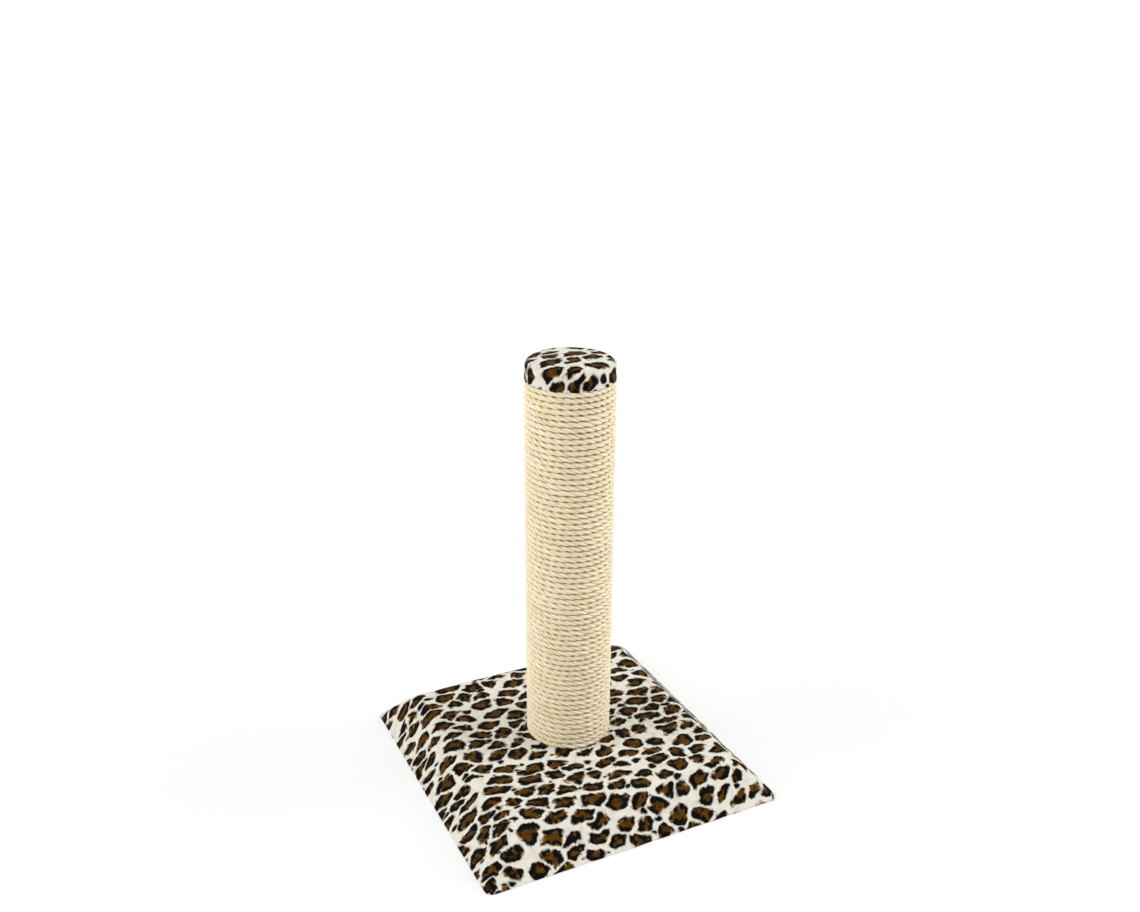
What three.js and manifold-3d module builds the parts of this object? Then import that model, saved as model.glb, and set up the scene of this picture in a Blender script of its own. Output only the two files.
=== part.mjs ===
// Cat scratching post: a square base with bevelled sides under a plush cover, a cardboard
// post wound with sisal rope and bolted to its middle, and a padded plush cap.
// Millimetres, +Z up. The origin is on the floor, under the middle of the post.

import * as THREE from 'three';
import { mergeVertices } from 'three/addons/utils/BufferGeometryUtils.js';
import Module from 'manifold-3d';

// ---- driving sizes: base ----
const baseSide = 350; // across the cover's edge on the floor
const baseHeight = 41; // floor to the top of the cover
const bevelRun = 38.5; // how far a side leans in on its way up
const baseCornerRadius = 8; // in plan, at the cover's corners
const ridgeRadius = 10; // where a side turns into the top
const coverThickness = 2.5; // plush backing and pressed pile, on the base and on the cap
const hemWidth = 25; // strip of the base cover turned in on the floor side
const waddingThickness = 3;
const boardThickness = 6; // bottom board
const deckThickness = 12; // board under the wadding, which carries the post
const railWidth = 42; // side rail, across its foot
const centreBlockWidth = 90; // the block that fills the frame under the post
const deckScrewSpacing = 180; // between the two screws in one rail
const deckScrewEdge = 7; // from a screw to the edge of the deck's flat top
const staplesPerSide = 4; // along one side of the base
const stapleFromCorner = 28; // from the end staples to where two hems meet

// ---- driving sizes: post ----
const tubeLength = 419;
const tubeDiameter = 80;
const tubeWall = 4;
const plugThickness = 18; // the wooden discs that close the tube's ends
const ropeDiameter = 6.5;
const ropePitch = 6.15; // turns press into each other's strands, so less than the diameter
const ropeGap = 0.45; // left between one turn and the next
const ropeStartAngle = 80; // degrees; the ends lie at the back
const ropeStepUp = 1 / 6; // share of a turn in which a level turn steps up to the next

// ---- driving sizes: cap ----
const capOverhang = 0.2; // how far the cap's side stands out past the rope
const capDiscThickness = 12;
const capFoamThickness = 3.5; // at the rim
const capCrown = 2.5; // how much the foam's middle stands above its rim
const capShoulderRadius = 8; // where the cap's side turns into its top
const capHemWidth = 17; // strip of the cap's cover turned in under its disc
const capScrewRadius = 18; // screws from the post's middle
const capScrewCount = 3;
const capStapleCount = 4;
const capStapleEdge = 5.7; // from a staple to the free edge of the cap's hem

// ---- driving sizes: fasteners ----
const boltDiameter = 8;
const boltProud = 5.5; // thread standing out past the nut
const boltHeadAcrossFlats = 13;
const boltHeadHeight = 5.3;
const boltAccessDiameter = 28; // hole in the bottom board for the socket that turns the bolt
const washerDiameter = 24;
const washerThickness = 1.6;
const teeNutFlangeDiameter = 22;
const teeNutFlangeThickness = 1.4;
const teeNutBarrelDiameter = 11;
const teeNutBarrelLength = 9;
const teeNutProngLength = 6;
const teeNutProngWidth = 3;
const teeNutProngCount = 4;
const screwDiameter = 4;
const screwHeadDiameter = 8;
const deckScrewShort = 3; // a deck screw stops this far above the foot of its rail
const capScrewReach = 10.5; // how deep a cap screw goes into the top plug
const nailDiameter = 1.8;
const nailHeadDiameter = 4.6;
const nailHeadThickness = 0.8;
const nailLength = 16;
const nailsPerPlug = 3;
const stapleCrown = 10;
const stapleLeg = 6;
const stapleWire = 1.2;
const stapleWireThickness = 0.7;
const stapleSink = 0.3; // how far the crown is pressed into the pile

const clearance = 0.3; // between pieces that touch

// ---- fineness of the facets ----
const postSegments = 36;
const roundSegments = 24; // washer and access hole
const nutSegments = 16;
const smallSegments = 10; // screws and bolt
const nailSegments = 8;
const cornerSteps = 4;
const ridgeSteps = 4;
const shoulderSteps = 4;
const crownSteps = 3;
const ropeStepsPerTurn = 12;
const ropeSides = 5;

const finishes = {
  plush: { color: 0xece6d7, roughness: 0.95, metalness: 0 },
  wadding: { color: 0xf3f2ec, roughness: 1, metalness: 0 },
  foam: { color: 0xe8dfb8, roughness: 1, metalness: 0 },
  wood: { color: 0xc8a878, roughness: 0.7, metalness: 0 },
  cardboard: { color: 0xac8a5e, roughness: 0.85, metalness: 0 },
  sisal: { color: 0xebdeb9, roughness: 0.9, metalness: 0 },
  steel: { color: 0x9ea1a4, roughness: 0.4, metalness: 1 },
};

// ---- solids ----
const wasm = await Module();
wasm.setup();

function solidOf(geometry) {
  const plain = geometry.clone();
  plain.deleteAttribute('normal');
  plain.deleteAttribute('uv');
  const merged = mergeVertices(plain);
  return new wasm.Manifold(
    new wasm.Mesh({
      numProp: 3,
      vertProperties: merged.attributes.position.array,
      triVerts: Uint32Array.from(merged.index.array),
    }),
  );
}

function geometryOf(solid) {
  const mesh = solid.getMesh();
  const geometry = new THREE.BufferGeometry();
  geometry.setAttribute('position', new THREE.BufferAttribute(mesh.vertProperties, 3));
  geometry.setIndex(new THREE.BufferAttribute(mesh.triVerts, 1));
  geometry.computeVertexNormals();
  return geometry;
}

function cut(geometry, cutters) {
  return geometryOf(cutters.reduce((solid, cutter) => solid.subtract(solidOf(cutter)), solidOf(geometry)));
}

// Joins rings of points, lowest first and each turning anticlockwise from above, into one
// closed solid. The end rings are convex.
function loft(rings) {
  const count = rings[0].length;
  const positions = rings.flat().flatMap((point) => point.toArray());
  const index = [];
  for (let ring = 0; ring < rings.length - 1; ring += 1) {
    for (let side = 0; side < count; side += 1) {
      const a = ring * count + side;
      const b = ring * count + ((side + 1) % count);
      index.push(a, b, b + count, a, b + count, a + count);
    }
  }
  const top = (rings.length - 1) * count;
  for (let side = 1; side < count - 1; side += 1) {
    index.push(0, side + 1, side, top, top + side, top + side + 1);
  }
  const geometry = new THREE.BufferGeometry();
  geometry.setAttribute('position', new THREE.Float32BufferAttribute(positions, 3));
  geometry.setIndex(index);
  geometry.computeVertexNormals();
  return geometry;
}

// Turns a profile of [radius, z] pairs about the Z axis; the profile runs anticlockwise
// seen with the radius to the right and Z up.
function turned(profile, segments) {
  const points = profile.map(([radius, z]) => new THREE.Vector2(radius, z));
  return new THREE.LatheGeometry(points, segments).rotateX(Math.PI / 2);
}

function rod(diameter, low, high, segments = smallSegments) {
  const radius = diameter / 2;
  return turned([[0, low], [radius, low], [radius, high], [0, high]], segments);
}

function ringRod(outer, inner, low, high, segments) {
  const [ro, ri] = [outer / 2, inner / 2];
  return turned([[ri, low], [ro, low], [ro, high], [ri, high], [ri, low]], segments);
}

function block(width, depth, low, high) {
  return new THREE.BoxGeometry(width, depth, high - low).translate(0, 0, (low + high) / 2);
}

function arc(centreRadius, centreZ, radius, fromAngle, toAngle, steps) {
  return Array.from({ length: steps + 1 }, (_, step) => {
    const angle = fromAngle + ((toAngle - fromAngle) * step) / steps;
    return [centreRadius + radius * Math.cos(angle), centreZ + radius * Math.sin(angle)];
  });
}

// ---- the assembly ----
const post = new THREE.Group();
post.name = 'cat_scratching_post';

function add(name, geometry, finish) {
  const mesh = new THREE.Mesh(geometry, new THREE.MeshStandardMaterial(finishes[finish]));
  mesh.name = name;
  post.add(mesh);
  return mesh;
}

// ---- heights in the base ----
const bevelAngle = Math.atan2(baseHeight, bevelRun);
const waddingInset = coverThickness + clearance;
const waddingInner = waddingInset + waddingThickness;
const woodInset = waddingInner + clearance;
const boardBottom = coverThickness + clearance;
const boardTop = boardBottom + boardThickness;
const frameBottom = boardTop + clearance;
const deckTop = baseHeight - woodInset;
const deckBottom = deckTop - deckThickness;
const frameTop = deckBottom - clearance;

// Half the width of the bevelled base at height z, a layer's depth in from its surface.
function halfAt(z, inset) {
  return baseSide / 2 - (bevelRun * z) / baseHeight - inset / Math.sin(bevelAngle);
}

// A rounded square, anticlockwise from above.
function squareRing(half, radius, z) {
  const ring = [];
  for (let corner = 0; corner < 4; corner += 1) {
    const middle = Math.PI / 4 + (corner * Math.PI) / 2;
    const reach = (half - radius) * Math.SQRT2;
    for (let step = 0; step <= cornerSteps; step += 1) {
      const angle = middle + (step / cornerSteps - 0.5) * (Math.PI / 2);
      ring.push(
        new THREE.Vector3(
          reach * Math.cos(middle) + radius * Math.cos(angle),
          reach * Math.sin(middle) + radius * Math.sin(angle),
          z,
        ),
      );
    }
  }
  return ring;
}

function cornerRadiusAt(inset) {
  return Math.max(baseCornerRadius - inset, clearance);
}

// Where the flat top ends and the rounded ridge begins, a layer's depth in.
function bevelledRim(inset) {
  const radius = Math.max(ridgeRadius - inset, clearance);
  const top = baseHeight - inset;
  return { radius, top, half: halfAt(top, inset) - radius * Math.tan(bevelAngle / 2) };
}

// The base's outer form, or a layer inside it: bevelled sides, a rounded ridge, a flat top.
function bevelledForm(inset, bottom) {
  const { radius, top, half: rim } = bevelledRim(inset);
  const ridge = arc(rim, top - radius, radius, Math.PI / 2 - bevelAngle, Math.PI / 2, ridgeSteps);
  const profile = [[halfAt(bottom, inset), bottom], ...ridge];
  return loft(profile.map(([half, z]) => squareRing(half, cornerRadiusAt(inset), z)));
}

// ---- screws, nails and staples ----
// Countersunk, pointing down, with the top of its head at z = 0; or the hole for it, wider
// all round by extra.
function screwProfile(length, extra) {
  const [head, shank] = [screwHeadDiameter / 2 + extra, screwDiameter / 2 + extra];
  const cone = screwHeadDiameter / 2 - screwDiameter / 2;
  const hole = extra > 0;
  const tip = hole ? -length - extra : -length;
  const tipSide = hole ? tip : shank - length;
  const mouth = hole ? clearance : 0;
  const end = [[0, tip], [shank, tipSide]];
  return [...end, [shank, -cone - clearance], [head, -clearance], [head, mouth], [0, mouth]];
}

const screw = (length) => turned(screwProfile(length, 0), smallSegments);
const screwHole = (length) => turned(screwProfile(length, clearance), smallSegments);

// Pointing down, with the top of its head at z = 0.
function nail(extra = 0) {
  const [head, shank] = [nailHeadDiameter / 2 + extra, nailDiameter / 2 + extra];
  const under = -nailHeadThickness - extra;
  const end = -nailLength - extra;
  const above = 2 * extra;
  const profile = [[0, end], [shank, end], [shank, under], [head, under], [head, above], [0, above]];
  return turned(profile, nailSegments);
}

// Turns a downward nail to point into the post, its head at a radius and height, and
// shifted sideways from the line to the post's axis.
function atNail(geometry, { angle, radius, shift = 0, z }) {
  return geometry.rotateY(Math.PI / 2).translate(radius, shift, z).rotateZ(angle);
}

// A staple driven upwards: its crown lies at the bottom, across X.
function staple() {
  const outer = stapleCrown / 2;
  const inner = outer - stapleWireThickness;
  const outline = new THREE.Shape([
    new THREE.Vector2(-outer, 0),
    new THREE.Vector2(outer, 0),
    new THREE.Vector2(outer, stapleWireThickness + stapleLeg),
    new THREE.Vector2(inner, stapleWireThickness + stapleLeg),
    new THREE.Vector2(inner, stapleWireThickness),
    new THREE.Vector2(-inner, stapleWireThickness),
    new THREE.Vector2(-inner, stapleWireThickness + stapleLeg),
    new THREE.Vector2(-outer, stapleWireThickness + stapleLeg),
  ]);
  const wire = new THREE.ExtrudeGeometry(outline, { depth: stapleWire, bevelEnabled: false });
  return wire.translate(0, 0, -stapleWire / 2).rotateX(Math.PI / 2);
}

// The slit that the crown presses through a hem of the cover's thickness, from z = 0 up.
function stapleSlit() {
  const width = stapleCrown + 2 * clearance;
  return block(width, stapleWire + 2 * clearance, -clearance, coverThickness + clearance);
}

// The two holes that the legs make above the hem.
function stapleHoles() {
  const depth = stapleSink + stapleWireThickness + stapleLeg + clearance;
  const across = stapleWireThickness + 2 * clearance;
  return [-1, 1].map((side) =>
    block(across, stapleWire + 2 * clearance, coverThickness, depth).translate(
      (side * (stapleCrown - stapleWireThickness)) / 2,
      0,
      0,
    ),
  );
}

// ---- base: frame ----
const boltHole = boltDiameter + 2 * clearance;

const hemInner = baseSide / 2 - hemWidth;
const stapleLine = (hemInner + halfAt(boardBottom, woodInset)) / 2;
const stapleReach = stapleLine - stapleFromCorner;
const stapleSpots = [];
for (let side = 0; side < 4; side += 1) {
  for (let place = 0; place < staplesPerSide; place += 1) {
    const along = stapleReach * ((2 * place) / (staplesPerSide - 1) - 1);
    stapleSpots.push({ along, turn: (side * Math.PI) / 2 });
  }
}
const atStaple = (geometry, spot) => geometry.translate(spot.along, -stapleLine, 0).rotateZ(spot.turn);

const board = loft(
  [boardBottom, boardTop].map((z) => squareRing(halfAt(z, woodInset), cornerRadiusAt(woodInset), z)),
);
add(
  'base_board',
  cut(board, [
    rod(boltAccessDiameter, 0, frameBottom, roundSegments),
    ...stapleSpots.flatMap((spot) => stapleHoles().map((hole) => atStaple(hole, spot))),
  ]),
  'wood',
);

// The rails meet at mitred corners.
const railFoot = halfAt(frameBottom, woodInset);
const railHead = halfAt(frameTop, woodInset);
const railInner = railFoot - railWidth;
const mitreSetback = clearance / Math.SQRT2;
const screwLine = bevelledRim(woodInset).half - deckScrewEdge;
const screwLength = deckTop - frameBottom - deckScrewShort;
const deckScrewSpots = [];
for (let side = 0; side < 4; side += 1) {
  for (const end of [-1, 1]) {
    deckScrewSpots.push({ along: (end * deckScrewSpacing) / 2, turn: (side * Math.PI) / 2 });
  }
}
const atScrew = (geometry, spot) => geometry.translate(spot.along, -screwLine, deckTop).rotateZ(spot.turn);

function rail() {
  const rounding = cornerRadiusAt(woodInset);
  const section = (outer, z) => {
    const tip = outer - rounding * (1 - Math.SQRT1_2); // where the rounded corner meets the mitre
    const right = [
      [outer - rounding, -outer],
      [tip - mitreSetback, -tip],
      [railInner - mitreSetback, -railInner],
    ];
    const left = right.map(([x, y]) => [-x, y]).reverse();
    return [...right, ...left].map(([x, y]) => new THREE.Vector3(x, y, z));
  };
  const holes = deckScrewSpots.filter((spot) => spot.turn === 0);
  return cut(
    loft([section(railFoot, frameBottom), section(railHead, frameTop)]),
    holes.map((spot) => atScrew(screwHole(screwLength), spot)),
  );
}
['front', 'right', 'back', 'left'].forEach((side, turn) => {
  add(`side_rail_${side}`, rail(), 'wood').rotation.z = (turn * Math.PI) / 2;
});

add(
  'centre_block',
  cut(block(centreBlockWidth, centreBlockWidth, frameBottom, frameTop), [
    rod(boltHole, boardBottom, deckTop),
  ]),
  'wood',
);

add(
  'deck_board',
  cut(bevelledForm(woodInset, deckBottom), [
    rod(boltHole, frameTop, baseHeight),
    ...deckScrewSpots.map((spot) => atScrew(screwHole(screwLength), spot)),
  ]),
  'wood',
);
deckScrewSpots.forEach((spot, place) => {
  add(`deck_screw_${place + 1}`, atScrew(screw(screwLength), spot), 'steel');
});

// ---- base: wadding and cover ----
add(
  'base_wadding',
  cut(bevelledForm(waddingInset, boardBottom), [
    bevelledForm(waddingInner, 0),
    rod(boltHole, deckBottom, baseHeight),
  ]),
  'wadding',
);

add(
  'base_cover',
  cut(bevelledForm(0, 0), [
    bevelledForm(coverThickness, coverThickness),
    block(2 * hemInner, 2 * hemInner, -clearance, boardBottom),
    rod(boltHole, deckBottom, baseHeight + clearance),
    ...stapleSpots.map((spot) => atStaple(stapleSlit(), spot)),
  ]),
  'plush',
);
stapleSpots.forEach((spot, place) => {
  add(`hem_staple_${place + 1}`, atStaple(staple().translate(0, 0, stapleSink), spot), 'steel');
});

// ---- post: tube, plugs and bolt ----
const tubeBottom = baseHeight + clearance;
const tubeTop = tubeBottom + tubeLength;
const tubeInner = tubeDiameter - 2 * tubeWall;
const plugDiameter = tubeInner - 2 * clearance;
const bottomPlugTop = tubeBottom + plugThickness;
const topPlugBottom = tubeTop - plugThickness;

const nutSeat = bottomPlugTop + clearance;
const boltTop = nutSeat + teeNutFlangeThickness + boltProud;
const washerTop = frameBottom - clearance;
const boltSeat = washerTop - washerThickness - clearance; // under side of the bolt's shoulder
const headBottom = boltSeat - boltHeadHeight;
const hexagon = new THREE.CylinderGeometry(1, 1, boltHeadHeight, 6)
  .scale(boltHeadAcrossFlats / Math.sqrt(3), 1, boltHeadAcrossFlats / Math.sqrt(3))
  .rotateX(Math.PI / 2)
  .translate(0, 0, headBottom + boltHeadHeight / 2);
add(
  'post_bolt',
  geometryOf(solidOf(hexagon).add(solidOf(rod(boltDiameter, boltSeat - clearance, boltTop)))),
  'steel',
);
add(
  'bolt_washer',
  ringRod(washerDiameter, boltHole, washerTop - washerThickness, washerTop, roundSegments),
  'steel',
);

// The prongs are bent down from the flange's sheet, half way between barrel and rim.
const prongRing = (teeNutBarrelDiameter + teeNutFlangeDiameter) / 4;
function prongs(extra) {
  const [width, thick] = [teeNutProngWidth + 2 * extra, teeNutFlangeThickness + 2 * extra];
  return Array.from({ length: teeNutProngCount }, (_, place) =>
    block(thick, width, nutSeat - teeNutProngLength - extra, nutSeat + teeNutFlangeThickness / 2)
      .translate(prongRing, 0, 0)
      .rotateZ((place * 2 * Math.PI) / teeNutProngCount),
  );
}
const nutBody = turned(
  [
    [boltHole / 2, nutSeat - teeNutBarrelLength],
    [teeNutBarrelDiameter / 2, nutSeat - teeNutBarrelLength],
    [teeNutBarrelDiameter / 2, nutSeat],
    [teeNutFlangeDiameter / 2, nutSeat],
    [teeNutFlangeDiameter / 2, nutSeat + teeNutFlangeThickness],
    [boltHole / 2, nutSeat + teeNutFlangeThickness],
    [boltHole / 2, nutSeat - teeNutBarrelLength],
  ],
  nutSegments,
);
const nutSolid = prongs(0).reduce((solid, prong) => solid.add(solidOf(prong)), solidOf(nutBody));
add('tee_nut', geometryOf(nutSolid), 'steel');

// Nails go through the tube into each plug; one more holds each end of the rope.
const nailRadius = (tubeDiameter / 2) * Math.cos(Math.PI / postSegments) - clearance / 2;
const plugNails = [];
[tubeBottom + plugThickness / 2, tubeTop - plugThickness / 2].forEach((z) => {
  for (let place = 0; place < nailsPerPlug; place += 1) {
    const angle = ((place + 0.5) * 2 * Math.PI) / nailsPerPlug - Math.PI / 2;
    plugNails.push({ angle, radius: nailRadius, z });
  }
});

// ---- post: rope ----
// One left-handed winding from the base's cover to the cap, in whole turns, so both ends
// lie at the back. A turn has a whole number of straight steps, so turns lie above each
// other. The first turn lies level on the base and steps up at its end, the last steps up
// at its start and lies level under the cap, and from both the winding eases into a helix.
const halfStep = Math.PI / ropeStepsPerTurn;
const ropeTurns = Math.floor((tubeLength + ropeGap) / ropePitch) - 1;
const turnRise = (tubeLength + ropeGap) / (ropeTurns + 1);
const ropeWidth = turnRise - ropeGap;
const sideAngle = (2 * Math.PI) / ropeSides;
const ropeAcross = ropeDiameter / (1 + Math.cos(sideAngle / 2));
const ropeUp = ropeWidth / (2 * Math.sin(sideAngle));
const ropeInner = tubeDiameter / 2 + clearance;
const ropeRadius = (ropeInner + ropeAcross * Math.cos(sideAngle / 2)) / Math.cos(halfStep);
const ropeFirstZ = tubeBottom + ropeWidth / 2;
const ropeLastZ = ropeFirstZ + ropeTurns * turnRise;
const ropeSteps = ropeTurns * ropeStepsPerTurn;

function ropeHeight(step) {
  const turn = Math.min(Math.floor(step / ropeStepsPerTurn), ropeTurns - 1);
  const along = step / ropeStepsPerTurn - turn;
  const share = step / ropeSteps;
  const evenness = 1 - Math.abs(1 - 2 * share);
  const level = share < 0.5 ? Math.max(0, 1 - (1 - along) / ropeStepUp) : Math.min(1, along / ropeStepUp);
  return ropeFirstZ + turnRise * (turn + evenness * along + (1 - evenness) * level);
}

// The section stands on the tube's axis, but square to its straight step at either end.
function ropeRing(step) {
  const angle = THREE.MathUtils.degToRad(ropeStartAngle) - 2 * halfStep * step;
  const centre = new THREE.Vector3(Math.cos(angle), Math.sin(angle), 0).multiplyScalar(ropeRadius);
  centre.z = ropeHeight(step);
  const [first, last] = [step === 0, step === ropeSteps];
  const facing = angle + (first ? -halfStep : 0) + (last ? halfStep : 0);
  const across = first || last ? ropeAcross : ropeAcross / Math.cos(halfStep);
  const outward = new THREE.Vector3(Math.cos(facing), Math.sin(facing), 0);
  return Array.from({ length: ropeSides }, (_, side) => {
    const point = centre.clone().addScaledVector(outward, across * Math.cos(side * sideAngle));
    point.z += ropeUp * Math.sin(side * sideAngle);
    return point;
  });
}
const ropeRings = Array.from({ length: ropeSteps + 1 }, (_, step) => ropeRing(step));

// Points along the sides of one ring, to measure the gap between turns on.
const pointsPerSide = 4;
function ringOutline(ring) {
  return ring.flatMap((point, side) => {
    const next = ring[(side + 1) % ring.length];
    const shares = Array.from({ length: pointsPerSide }, (_, place) => place / pointsPerSide);
    return shares.map((share) => point.clone().lerp(next, share));
  });
}
const ropeOutlines = ropeRings.map(ringOutline);
let leastGap = Infinity;
ropeOutlines.slice(0, -ropeStepsPerTurn).forEach((outline, step) => {
  for (const point of outline) {
    for (const above of ropeOutlines[step + ropeStepsPerTurn]) {
      leastGap = Math.min(leastGap, point.distanceTo(above));
    }
  }
});
const [risePrinted, gapPrinted] = [turnRise, leastGap].map((length) => length.toFixed(2));
console.log(`sisal_rope: ${ropeTurns} turns, ${risePrinted} mm apart, least gap ${gapPrinted} mm`);

// The tacks stand square to the rope, in the middle of its first and last straight diameter.
const tackShift = ropeRadius * Math.sin(halfStep) - ropeDiameter / 2;
const tackRadius = ropeInner + ropeDiameter + clearance + nailHeadThickness;
const startAngle = THREE.MathUtils.degToRad(ropeStartAngle);
const tacks = {
  rope_tack_bottom: { angle: startAngle - halfStep, radius: tackRadius, shift: tackShift, z: ropeFirstZ },
  rope_tack_top: { angle: startAngle + halfStep, radius: tackRadius, shift: -tackShift, z: ropeLastZ },
};

function tackHole(spot) {
  return atNail(rod(nailDiameter + 2 * clearance, -nailLength - clearance, clearance, nailSegments), spot);
}
const tackHoles = () => Object.values(tacks).map(tackHole);
const plugNailHoles = () => plugNails.map((spot) => atNail(nail(clearance), spot));

add('sisal_rope', cut(loft(ropeRings), tackHoles()), 'sisal');
Object.entries(tacks).forEach(([name, spot]) => add(name, atNail(nail(), spot), 'steel'));

add(
  'post_tube',
  cut(ringRod(tubeDiameter, tubeInner, tubeBottom, tubeTop, postSegments), [
    ...plugNailHoles(),
    ...tackHoles(),
  ]),
  'cardboard',
);
const barrelHole = teeNutBarrelDiameter + 2 * clearance;
add(
  'bottom_plug',
  cut(rod(plugDiameter, tubeBottom, bottomPlugTop, postSegments), [
    rod(boltHole, baseHeight, nutSeat),
    rod(barrelHole, nutSeat - teeNutBarrelLength - clearance, nutSeat + clearance, nutSegments),
    ...prongs(clearance),
    ...plugNailHoles(),
    ...tackHoles(),
  ]),
  'wood',
);
plugNails.forEach((spot, place) => add(`plug_nail_${place + 1}`, atNail(nail(), spot), 'steel'));

// ---- cap ----
const capBottom = tubeTop + clearance;
const discBottom = capBottom + coverThickness + clearance;
const discTop = discBottom + capDiscThickness;
const foamBottom = discTop + clearance;
const foamRim = foamBottom + capFoamThickness;
const capRim = foamRim + clearance + coverThickness;
const capRadius = tubeDiameter / 2 + clearance + ropeDiameter + capOverhang;
const shoulderCentre = capRadius - capShoulderRadius;
const shoulderZ = capRim - capShoulderRadius;
const padInset = coverThickness + clearance;

// Profile of the cap's surface, or of a layer inside it, from height low up to the axis.
function capProfile(inset, low) {
  const radius = Math.max(capShoulderRadius - inset, clearance);
  const start = low > shoulderZ ? Math.asin((low - shoulderZ) / radius) : 0;
  const side = low > shoulderZ ? [] : [[shoulderCentre + radius, low]];
  const shoulder = arc(shoulderCentre, shoulderZ, radius, start, Math.PI / 2, shoulderSteps);
  const crown = Array.from({ length: crownSteps }, (_, step) => {
    const outward = 1 - (step + 1) / crownSteps; // 0 on the axis
    return [shoulderCentre * outward, shoulderZ + radius + capCrown * (1 - outward ** 2)];
  });
  return [...side, ...shoulder, ...crown];
}

const capScrewLength = discTop - tubeTop + capScrewReach;
const capScrewSpots = Array.from(
  { length: capScrewCount },
  (_, place) => (place * 2 * Math.PI) / capScrewCount,
);
const atCapScrew = (geometry, angle) => geometry.translate(capScrewRadius, 0, discTop).rotateZ(angle);
const capScrewHoles = () => capScrewSpots.map((angle) => atCapScrew(screwHole(capScrewLength), angle));

add(
  'top_plug',
  cut(rod(plugDiameter, topPlugBottom, tubeTop, postSegments), [
    ...plugNailHoles(),
    ...tackHoles(),
    ...capScrewHoles(),
  ]),
  'wood',
);

const capHemInner = capRadius - capHemWidth;
const capStapleRadius = capHemInner + capStapleEdge;
const capStapleSpots = Array.from(
  { length: capStapleCount },
  (_, place) => ((place + 0.5) * 2 * Math.PI) / capStapleCount,
);
const atCapStaple = (geometry, angle) => geometry.translate(0, -capStapleRadius, capBottom).rotateZ(angle);

const discShoulder = capProfile(padInset, discBottom).filter(([, z]) => z < discTop);
const shoulderReach = capShoulderRadius - padInset;
const discTopRadius = shoulderCentre + Math.sqrt(shoulderReach ** 2 - (discTop - shoulderZ) ** 2);
add(
  'cap_disc',
  cut(turned([[0, discBottom], ...discShoulder, [discTopRadius, discTop], [0, discTop]], postSegments), [
    ...capScrewHoles(),
    ...capStapleSpots.flatMap((angle) => stapleHoles().map((hole) => atCapStaple(hole, angle))),
  ]),
  'wood',
);
capScrewSpots.forEach((angle, place) => {
  add(`cap_screw_${place + 1}`, atCapScrew(screw(capScrewLength), angle), 'steel');
});

add('cap_foam', turned([[0, foamBottom], ...capProfile(padInset, foamBottom)], postSegments), 'foam');

const capInside = capProfile(coverThickness, capBottom + coverThickness).reverse();
add(
  'cap_cover',
  cut(
    turned(
      [
        [capHemInner, capBottom],
        ...capProfile(0, capBottom),
        ...capInside,
        [capHemInner, capBottom + coverThickness],
        [capHemInner, capBottom],
      ],
      postSegments,
    ),
    capStapleSpots.map((angle) => atCapStaple(stapleSlit(), angle)),
  ),
  'plush',
);
capStapleSpots.forEach((angle, place) => {
  add(`cap_staple_${place + 1}`, atCapStaple(staple().translate(0, 0, stapleSink), angle), 'steel');
});

export default post;
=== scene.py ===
import math
import random

import bmesh
import bpy
import numpy as np
from mathutils import Matrix, Vector, noise


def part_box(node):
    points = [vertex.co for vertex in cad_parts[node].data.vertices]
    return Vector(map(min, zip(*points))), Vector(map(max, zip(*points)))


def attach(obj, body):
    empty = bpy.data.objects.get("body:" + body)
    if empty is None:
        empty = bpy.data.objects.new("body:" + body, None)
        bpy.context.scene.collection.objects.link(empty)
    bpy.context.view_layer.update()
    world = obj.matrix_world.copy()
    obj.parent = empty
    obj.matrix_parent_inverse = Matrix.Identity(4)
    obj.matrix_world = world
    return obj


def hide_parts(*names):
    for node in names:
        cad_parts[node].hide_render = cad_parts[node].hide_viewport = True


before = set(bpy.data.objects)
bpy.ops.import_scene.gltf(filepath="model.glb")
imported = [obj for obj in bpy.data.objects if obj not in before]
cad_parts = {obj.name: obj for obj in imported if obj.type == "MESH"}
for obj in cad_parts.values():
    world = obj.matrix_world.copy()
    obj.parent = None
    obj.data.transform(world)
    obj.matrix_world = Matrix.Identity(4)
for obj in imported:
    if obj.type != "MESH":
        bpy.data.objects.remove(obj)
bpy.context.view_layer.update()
mm = 0.001
noiseSpan = (0.2, 0.8)  # where nearly all of a noise's values lie
toneSpan = (0.3, 0.7)  # where one tone of a finish passes into the other


def linear(red, green, blue):
    # a screen colour, 0 to 255, as the linear values that sockets take
    parts = [part / 255 for part in (red, green, blue)]
    return (*[p / 12.92 if p <= 0.04045 else ((p + 0.055) / 1.055) ** 2.4 for p in parts], 1.0)


# The camera's place and turn were solved from the base's corners and the post's edges.
cameraLook = {
    "place": (-0.50608, -1.01830, 0.82013),
    "yaw": 26.430,  # degrees to the right of +Y
    "pitch": 21.376,  # degrees down
    "roll": 0.363,
    "focalPixels": 1161.446,
    "imageWidth": 1140,
    "sensor": 36.0,
    "clip": (0.05, 50.0),
}


def makeCamera():
    look = cameraLook
    data = bpy.data.cameras.new("camera")
    data.sensor_fit = "HORIZONTAL"
    data.sensor_width = look["sensor"]
    data.lens = look["focalPixels"] / look["imageWidth"] * look["sensor"]
    data.clip_start, data.clip_end = look["clip"]
    camera = bpy.data.objects.new("camera", data)
    yaw, pitch, roll = (math.radians(look[key]) for key in ("yaw", "pitch", "roll"))
    aim = Matrix.Rotation(-yaw, 4, "Z") @ Matrix.Rotation(math.pi / 2 - pitch, 4, "X")
    turn = aim @ Matrix.Rotation(roll, 4, "Z")
    camera.matrix_world = Matrix.Translation(look["place"]) @ turn
    bpy.context.scene.collection.objects.link(camera)
    bpy.context.scene.camera = camera
    print(f"camera: a lens of {data.lens:.1f} mm")


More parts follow.
